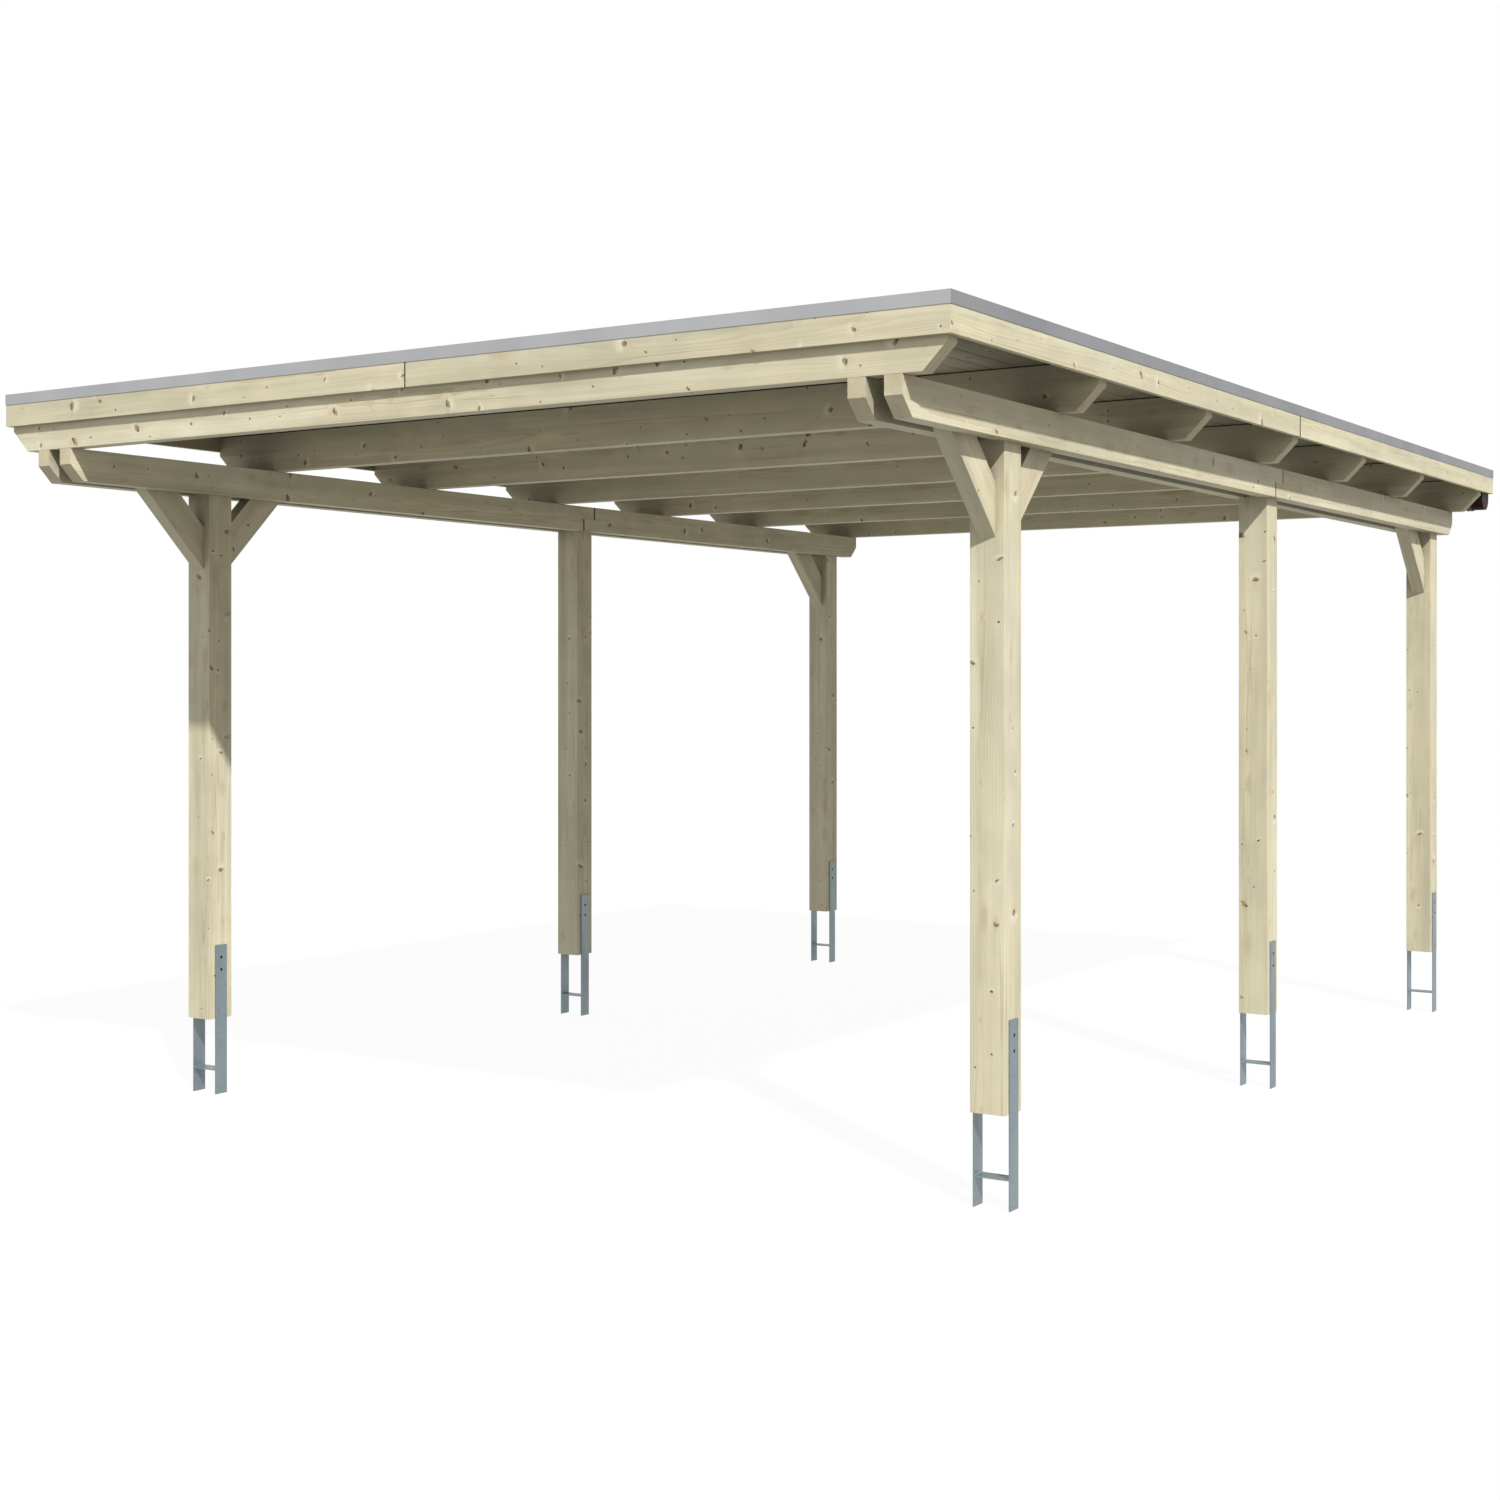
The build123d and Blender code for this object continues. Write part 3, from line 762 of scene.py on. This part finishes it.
def finished_piece(name, mesh, material):
    """Turn a bmesh into an object that stays with the carport."""
    bmesh.ops.recalc_face_normals(mesh, faces=mesh.faces)
    data = bpy.data.meshes.new(name)
    mesh.to_mesh(data)
    mesh.free()
    data.materials.append(material)
    piece = bpy.data.objects.new(name, data)
    bpy.context.scene.collection.objects.link(piece)
    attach(piece, "root")
    return piece


def side_by_side(wiring, place, tree):
    """Splitter for boards of one width side by side, each measured from its own middle."""
    along, across, through = (wiring.separate(place)[axis] for axis in "XYZ")
    rows = wiring.math("DIVIDE", across, board_cover)
    local = wiring.math("SUBTRACT", wiring.math("FRACT", rows), 0.5)
    local = wiring.math("MULTIPLY", local, board_cover)
    tree = wiring.scaled(wiring.math("FLOOR", rows), NEXT_TREE, tree)
    return wiring.combine(along, local, through), tree


boards = bmesh.new()
for number in range(BOARD_COUNT):
    outline = board_outline(deck_low.x + number * board_cover, number == 0, number == BOARD_COUNT - 1)
    add_prism(boards, outline, deck_low.y, deck_high.y)
deck_corner = Vector((deck_low.x, middle("roof_deck").y, deck_low.z))
board_spruce = spruce_material(
    "spruce_roof_boards", "board", BACK, deck_corner, DECK_TREE, boards=side_by_side, dimmed=DECK_DIMMED)
roof_boards = finished_piece("roof_boards", boards, board_spruce)
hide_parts("roof_deck")
print(f"roof boards {deck_high.y - deck_low.y:.2f} m long")

# %% [markdown]
# ## Handled surfaces
# Metal, plastic and rubber leave the factory even, and then pick up a thin film of dust, rain marks
# and finger grease. All of these finishes need it, each with its own strength, so it is a group:
# soft patches drive the colour and the roughness, and fine grain drives the height.

# %% The film group
SPECKS = (900.0, 900.0, 900.0)
PATCH_SHAPE = (1.0, 1.0, 0.45)
SPECK_SHARE, FILM_FROM = 0.12, (0.42, 0.78)


def build_film_group():
    wiring, given, result = new_group(
        "film",
        {"Place": VECTOR, "Patches per Metre": NUMBER, "Clean": COLOUR, "Filmed": COLOUR,
         "Smooth": NUMBER, "Rough": NUMBER},
        {"Color": COLOUR, "Roughness": NUMBER, "Height": NUMBER},
    )
    spread = wiring.node("ShaderNodeVectorMath", {0: given["Place"]}, operation="SCALE")
    wiring.feed(spread.inputs["Scale"], given["Patches per Metre"])
    patches = wiring.noise(spread.outputs["Vector"], PATCH_SHAPE, detail=4.0)
    specks = wiring.noise(given["Place"], SPECKS, detail=1.0)
    film = wiring.step(wiring.scaled(specks, SPECK_SHARE, patches), *FILM_FROM)
    reach = wiring.math("SUBTRACT", given["Rough"], given["Smooth"])
    wiring.feed(result["Color"], wiring.blend(film, given["Clean"], given["Filmed"]))
    wiring.feed(result["Roughness"], wiring.scaled(film, reach, given["Smooth"]))
    wiring.feed(result["Height"], specks)
    return wiring.tree


film_group = build_film_group()


def wire_film(wiring, shader, clean, filmed, smooth, rough, patches, bump):
    """Put the film on a shader, and give back the point on the surface and the film's colour."""
    point = wiring.node("ShaderNodeTexCoord").outputs["Object"]
    film = wiring.group(film_group, {
        "Place": point, "Patches per Metre": patches, "Clean": clean, "Filmed": filmed,
        "Smooth": smooth, "Rough": rough})
    lumps = wiring.node("ShaderNodeBump", {"Height": film["Height"], "Distance": bump})
    wiring.feed(shader["Base Color"], film["Color"])
    wiring.feed(shader["Roughness"], film["Roughness"])
    wiring.feed(shader["Normal"], lumps.outputs["Normal"])
    return point, film["Color"]


print(f"film group with {len(film_group.nodes)} nodes")

# %% [markdown]
# ## Galvanised post anchors
# The anchors are flat steel dipped in zinc. Zinc freezes in crystals a few millimetres across, each
# with its own tint, which a Voronoi pattern of cells gives at once. Out in the weather it dulls to a
# grey-blue skin, so the shader is only partly metallic, and not at all inside the bolt holes.

# %% Zinc finish
ZINC, ZINC_FILM = (0.262, 0.318, 0.341, 1.0), (0.244, 0.296, 0.317, 1.0)
ZINC_METALLIC = 0.65
CRYSTALS_PER_METRE = 160.0
CRYSTAL_TINT = 0.14

zinc, wiring, shader = new_material("galvanised_steel")
point, film_colour = wire_film(
    wiring, shader, ZINC, ZINC_FILM, smooth=0.42, rough=0.58, patches=9.0, bump=0.00008)
crystals = wiring.node("ShaderNodeTexVoronoi", {"Vector": point, "Scale": CRYSTALS_PER_METRE})
tint = wiring.node("ShaderNodeSeparateColor", {"Color": crystals.outputs["Color"]}).outputs["Red"]
tinted = wiring.dim(film_colour, wiring.scaled(tint, CRYSTAL_TINT, 1.0 - CRYSTAL_TINT / 2))
holes = wiring.group(bolt_group, {"Place": point})["Mask"]
# Painted shade with some dirt: the walls of the bolt holes take the dark colour.
wiring.feed(shader["Base Color"], wiring.blend(holes, tinted, GRIME_AND_PAINTED_SHADE))
wiring.feed(shader["Metallic"], wiring.scaled(holes, -ZINC_METALLIC, ZINC_METALLIC))
anchors = sorted(name for name in solids if name.startswith("anchor"))
for name in anchors:
    dress(name, zinc)
print(f"{len(anchors)} anchors galvanised")

# %% [markdown]
# The crossbar is welded between the straps, and a welder leaves a rippled bead along both of its
# edges. A bevelled curve would give a smooth round bar, so the bead is built from small sections
# that swell and shrink along its length and taper at both ends.

# %% Weld beads between crossbar and straps
STRAP_THICKNESS = 0.005
CROSSBAR_LEVELS = (0.095, 0.100)
BEAD_SIZE = 0.0035
BEAD_SHARE = 0.94
BEAD_STATIONS, BEAD_ARC = 36, 5
BEAD_RIPPLES, BEAD_RIPPLE_DEPTH = 11, 0.13
BEAD_END, BEAD_SWELL = 0.35, 6.0
BEAD_HOLLOW = 0.2


def bead_section(mesh, corner, y, inward, upward, size):
    """A quarter-round of weld in the corner between strap and crossbar."""
    section = [mesh.verts.new((corner.x, y, corner.z))]
    for step in range(BEAD_ARC + 1):
        turn = 0.5 * math.pi * step / BEAD_ARC
        reach = size * (1.0 - BEAD_HOLLOW + BEAD_HOLLOW * abs(math.cos(2.0 * turn)))
        x = corner.x + inward * reach * math.cos(turn)
        section.append(mesh.verts.new((x, y, corner.z + upward * reach * math.sin(turn))))
    return section


def add_bead(mesh, corner, inward, upward, length):
    """A rippled bead of weld along Y."""
    sections = []
    for station in range(BEAD_STATIONS + 1):
        share = station / BEAD_STATIONS
        taper = min(1.0, BEAD_SWELL * min(share, 1.0 - share) + BEAD_END)
        ripple = 1.0 + BEAD_RIPPLE_DEPTH * math.cos(2.0 * math.pi * BEAD_RIPPLES * share)
        y = corner.y + (share - 0.5) * length
        sections.append(bead_section(mesh, corner, y, inward, upward, BEAD_SIZE * taper * ripple))
    for near, far in zip(sections, sections[1:]):
        for index in range(len(near)):
            after = (index + 1) % len(near)
            mesh.faces.new((near[index], near[after], far[after], far[index]))
    mesh.faces.new(sections[0])
    mesh.faces.new(sections[-1])


welds = bmesh.new()
for name in anchors:
    low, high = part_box(name)
    for x, inward in ((low.x + STRAP_THICKNESS, 1), (high.x - STRAP_THICKNESS, -1)):
        for z, upward in zip(CROSSBAR_LEVELS, (-1, 1)):
            corner = Vector((x, (low.y + high.y) / 2, z))
            add_bead(welds, corner, inward, upward, (high.y - low.y) * BEAD_SHARE)
finished_piece("anchor_welds", welds, zinc)
print(f"{4 * len(anchors)} weld beads")

# %% [markdown]
# ## Roof edge, roof sheet and gutter
# A light grey metal trim caps the fascia on three sides, and a drip edge leads the water into a dark
# brown gutter. The roof itself is one black rubber sheet. They all take the film, and only their
# colours, roughness and metal differ. The front and side trims are one metal, and the front one is
# given paler colours as a painted sheen. The drip edge hangs over the gutter, where dirty water has
# dulled it, so it is rougher and less metallic.

# %% Finishes of the roof edge, sheet and gutter
# Painted sheen: the front trim's colours are paler than the side trim's, though both are one metal.
FRONT_TRIM_PAINTED_SHEEN, FRONT_TRIM_FILM_PAINTED_SHEEN = (0.49, 0.495, 0.505, 1.0), (0.45, 0.455, 0.463, 1.0)
SIDE_TRIM, SIDE_TRIM_FILM = (0.335, 0.34, 0.348, 1.0), (0.30, 0.303, 0.31, 1.0)
RUBBER, RUBBER_FILM = (0.036, 0.036, 0.0375, 1.0), (0.044, 0.0435, 0.042, 1.0)
BROWN, BROWN_FILM = (0.035, 0.015, 0.014, 1.0), (0.046, 0.024, 0.021, 1.0)
BLACK_STEEL, BLACK_STEEL_FILM = (0.014, 0.014, 0.014, 1.0), (0.03, 0.028, 0.026, 1.0)


def filmed_material(name, clean, filmed, smooth, rough, patches, bump, fixed):
    """A material under the film. What is the same all over is set on the shader's own sockets."""
    material, wiring, shader = new_material(name)
    wire_film(wiring, shader, clean, filmed, smooth, rough, patches, bump)
    for socket, value in fixed.items():
        shader[socket].default_value = value
    return material


front_trim_painted_sheen = filmed_material(
    "grey_edge_metal_front", FRONT_TRIM_PAINTED_SHEEN, FRONT_TRIM_FILM_PAINTED_SHEEN, smooth=0.5, rough=0.62, patches=3.0,
    bump=0.00005, fixed={"Metallic": 0.9})
side_trim = filmed_material(
    "grey_edge_metal_side", SIDE_TRIM, SIDE_TRIM_FILM, smooth=0.5, rough=0.62, patches=3.0,
    bump=0.00005, fixed={"Metallic": 0.9})
rear_trim = filmed_material(
    "grey_edge_metal_rear", SIDE_TRIM, SIDE_TRIM_FILM, smooth=0.75, rough=0.87, patches=3.0,
    bump=0.00005, fixed={"Metallic": 0.5})
rubber = filmed_material(
    "roof_sheet", RUBBER, RUBBER_FILM, smooth=0.78, rough=0.86, patches=0.9,
    bump=0.0004, fixed={"Specular IOR Level": 0.15})
brown_gutter = filmed_material(
    "brown_gutter", BROWN, BROWN_FILM, smooth=0.45, rough=0.6, patches=4.0,
    bump=0.00006, fixed={"Specular IOR Level": 0.04})
black_steel = filmed_material(
    "black_bracket_steel", BLACK_STEEL, BLACK_STEEL_FILM, smooth=0.4, rough=0.6, patches=12.0,
    bump=0.00008, fixed={})
ROOF_FINISHES = {
    "edge_trim_front": front_trim_painted_sheen, "edge_trim_left": side_trim, "edge_trim_right": side_trim,
    "rear_drip_edge": rear_trim, "roof_membrane": rubber, "gutter": brown_gutter,
    "gutter_end_caps": brown_gutter, "gutter_brackets": black_steel,
}
for name, finish in ROOF_FINISHES.items():
    dress(name, finish)
print(f"{len(ROOF_FINISHES)} pieces of the roof edge dressed")

# %% [markdown]
# ## Light
# One sun stands half-way up to the front right, under a pale sky. Both could be large lamps, but a
# sun keeps the shadows of rafters and braces parallel, and its small angle makes their edges soft with
# distance. The sky is a dome of two tones, paler above than below, and a little brighter to the left
# and the front, which fills the shaded sides as light from a pale yard would. The camera and
# reflections see plain white instead, which makes a white background with no more light on the timber.

# %% Sun and sky
SUN_FROM = Vector((1.0, -0.763, 1.127))
SUN_STRENGTH = 3.4
SUN_ANGLE = math.radians(1.3)
SKY_ABOVE, SKY_BELOW = (0.478, 0.485, 0.492, 1.0), (0.354, 0.36, 0.366, 1.0)
SKY_EDGE = (-0.1, 0.1)
SKY_LEAN = (-0.1, -0.06, 0.0)
WHITE = (1.0, 1.0, 1.0, 1.0)

sun = bpy.data.objects.new("sun", bpy.data.lights.new("sun", "SUN"))
sun.data.energy = SUN_STRENGTH
sun.data.angle = SUN_ANGLE
sun.rotation_euler = SUN_FROM.to_track_quat("Z", "Y").to_euler()
bpy.context.scene.collection.objects.link(sun)


def seen_directly(wiring):
    """1 for what the camera sees, straight or in a mirror or glass, and 0 for light that bounces."""
    path = wiring.node("ShaderNodeLightPath").outputs
    seen = wiring.math("MAXIMUM", path["Is Camera Ray"], path["Is Glossy Ray"])
    return wiring.math("MAXIMUM", seen, path["Is Transmission Ray"])


world = bpy.data.worlds.new("sky")
world.use_nodes = True
bpy.context.scene.world = world
wiring = Pattern(world.node_tree)
background = world.node_tree.nodes["Background"].inputs
direction = wiring.node("ShaderNodeTexCoord").outputs["Generated"]
dome = wiring.blend(wiring.step(wiring.separate(direction)["Z"], *SKY_EDGE), SKY_BELOW, SKY_ABOVE)
lean = wiring.math("ADD", wiring.vector("DOT_PRODUCT", direction, SKY_LEAN), 1.0)
wiring.feed(background["Color"], wiring.blend(seen_directly(wiring), wiring.dim(dome, lean), WHITE))
print(f"sun {math.degrees(math.asin(SUN_FROM.normalized().z)):.0f} degrees above the floor")

# %% [markdown]
# ## Floor
# The floor is white to the camera and still shows a faint shadow: most of what the camera sees there
# is plain white, and a small share is lit by the sun and the sky. A real white floor would throw
# light up at the roof, so it is hidden from the light that bounces, and the dome alone fills
# the underside.

# %% Floor
FLOOR_SIZE = 240.0
WHITE_SHARE = 0.95

floor_material = bpy.data.materials.new("pale_floor")
floor_material.use_nodes = True
floor_material.node_tree.nodes.clear()
wiring = Pattern(floor_material.node_tree)
lit = wiring.node("ShaderNodeBsdfDiffuse", {"Color": WHITE})
white = wiring.node("ShaderNodeEmission", {"Color": WHITE, "Strength": 1.0})
mixed = wiring.node("ShaderNodeMixShader", {0: wiring.product(seen_directly(wiring), WHITE_SHARE)})
wiring.feed(mixed.inputs[1], lit.outputs[0])
wiring.feed(mixed.inputs[2], white.outputs[0])
wiring.node("ShaderNodeOutputMaterial", {"Surface": mixed.outputs[0]})

floor_mesh = bmesh.new()
bmesh.ops.create_grid(floor_mesh, x_segments=1, y_segments=1, size=FLOOR_SIZE / 2)
floor_data = bpy.data.meshes.new("floor")
floor_mesh.to_mesh(floor_data)
floor_mesh.free()
floor_data.materials.append(floor_material)
floor = bpy.data.objects.new("floor", floor_data)
bpy.context.scene.collection.objects.link(floor)
floor.visible_diffuse = False
print(f"floor of {FLOOR_SIZE:.0f} m laid")

# %% [markdown]
# ## Camera
# The camera stands at eye height to the front right and looks level, so that all posts stay upright
# in the picture. Its place was worked out from the corners of the roof and the posts in a picture
# of 1500 by 1500 pixels. The level view puts the horizon above the middle of the picture, and a small
# shift of the lens takes that up without tilting the camera.

# %% Camera
PICTURE = 1500.0
FOCAL_PIXELS = 2133.9
HORIZON_PIXEL = 683.5
SENSOR = 36.0
EYE = Vector((4.7694, -8.3077, 1.6549))
YAW = math.radians(32.85)

camera = bpy.data.objects.new("camera", bpy.data.cameras.new("camera"))
camera.data.sensor_width = SENSOR
camera.data.lens = SENSOR * FOCAL_PIXELS / PICTURE
camera.data.shift_y = (HORIZON_PIXEL - PICTURE / 2) / PICTURE
camera.data.clip_end = 2 * FLOOR_SIZE
camera.location = EYE
camera.rotation_euler = (math.pi / 2, 0.0, YAW)
bpy.context.scene.collection.objects.link(camera)
bpy.context.scene.camera = camera
bpy.context.scene.view_settings.view_transform = "Standard"
print(f"lens {camera.data.lens:.1f} mm, shift {camera.data.shift_y:.4f}")
